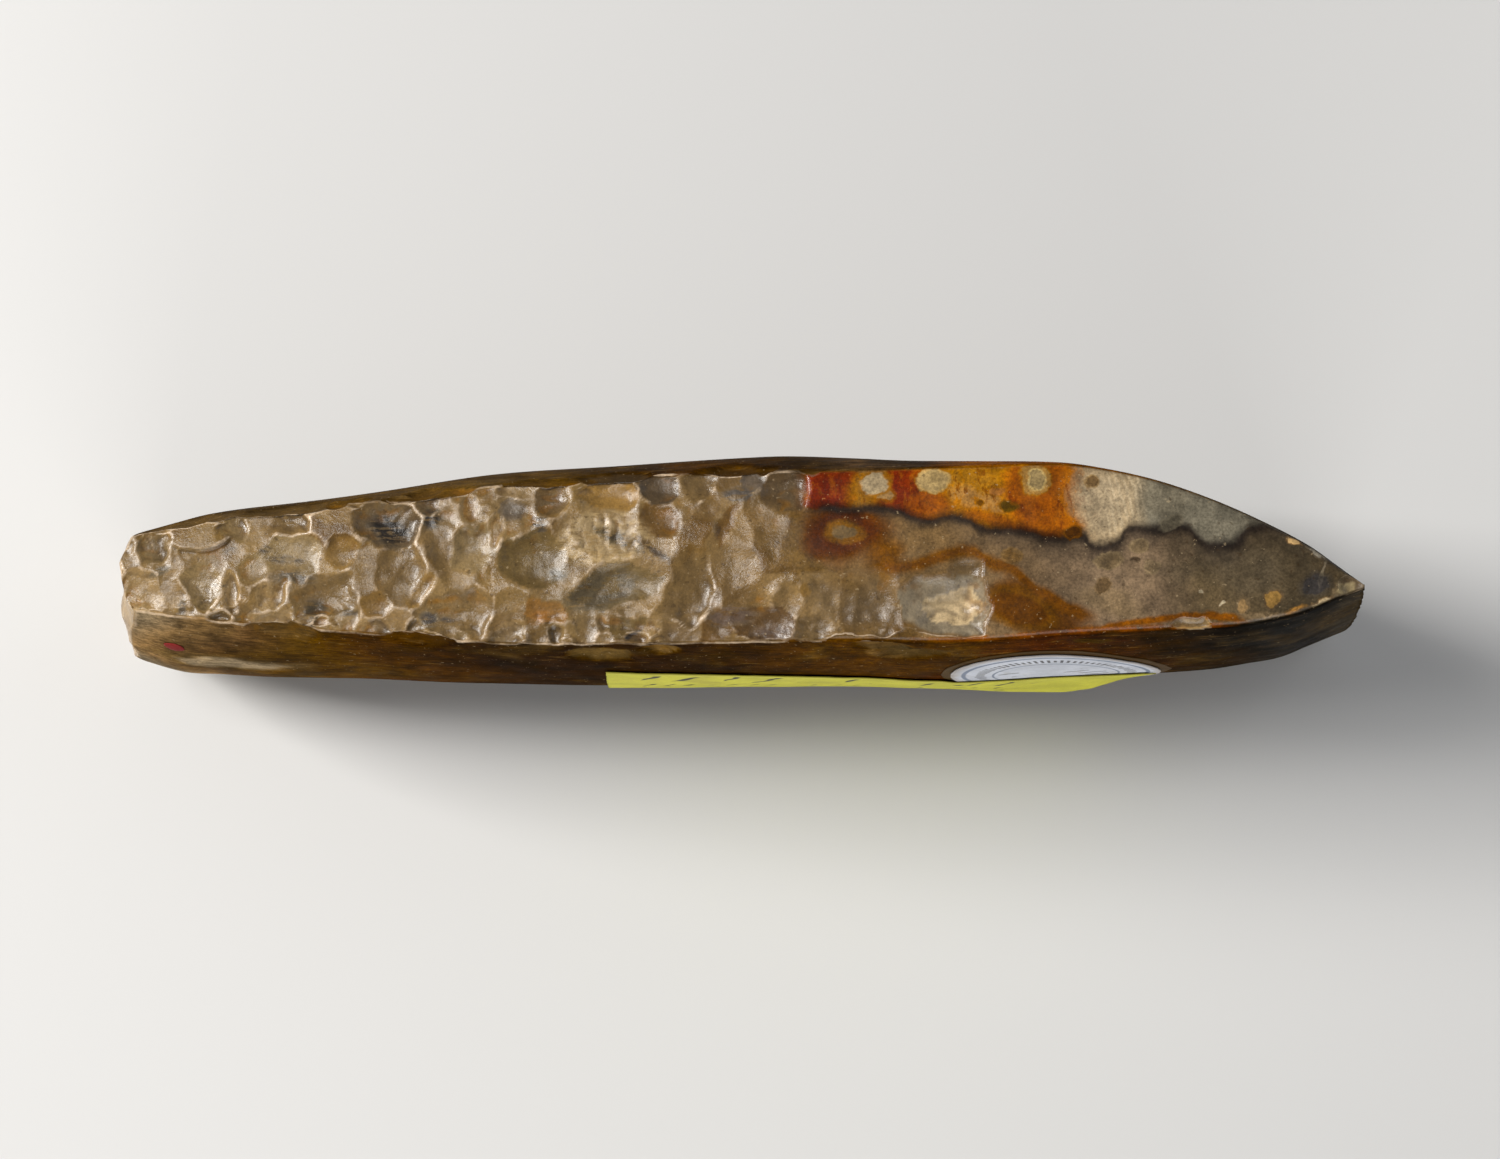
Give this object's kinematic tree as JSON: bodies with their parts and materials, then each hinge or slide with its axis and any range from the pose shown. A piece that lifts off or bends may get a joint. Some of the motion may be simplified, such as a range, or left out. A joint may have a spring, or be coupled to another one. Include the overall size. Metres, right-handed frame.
{
  "type": "thick-butted flint axe head",
  "caption": "Knapped and ground flint axe head with a thick butt, a straight cutting edge and old paper labels on one broad face.",
  "frame": {"origin": "under the middle of the axe, on the surface that its far narrow side stands on", "axes": "+X runs from the butt to the cutting edge, +Z from the far narrow side to the near one, and -Y points out of the labelled broad face"},
  "size_m": [0.1698, 0.031, 0.0581],
  "materials": {
    "flint": "knapped and part polished, mottled brown and grey",
    "gum": "dried brown gum, slightly shiny",
    "white_paper": "matt, bluish white",
    "yellow_paper": "matt, yellow-green",
    "red_paint": "dry paint, slightly shiny"
  },
  "bodies": {
    "root": {"flint_blade": "flint", "gum_film": "gum", "oval_label": "white_paper", "strip_label": "yellow_paper", "red_paint_dab": "red_paint"}
  },
  "joints": []
}
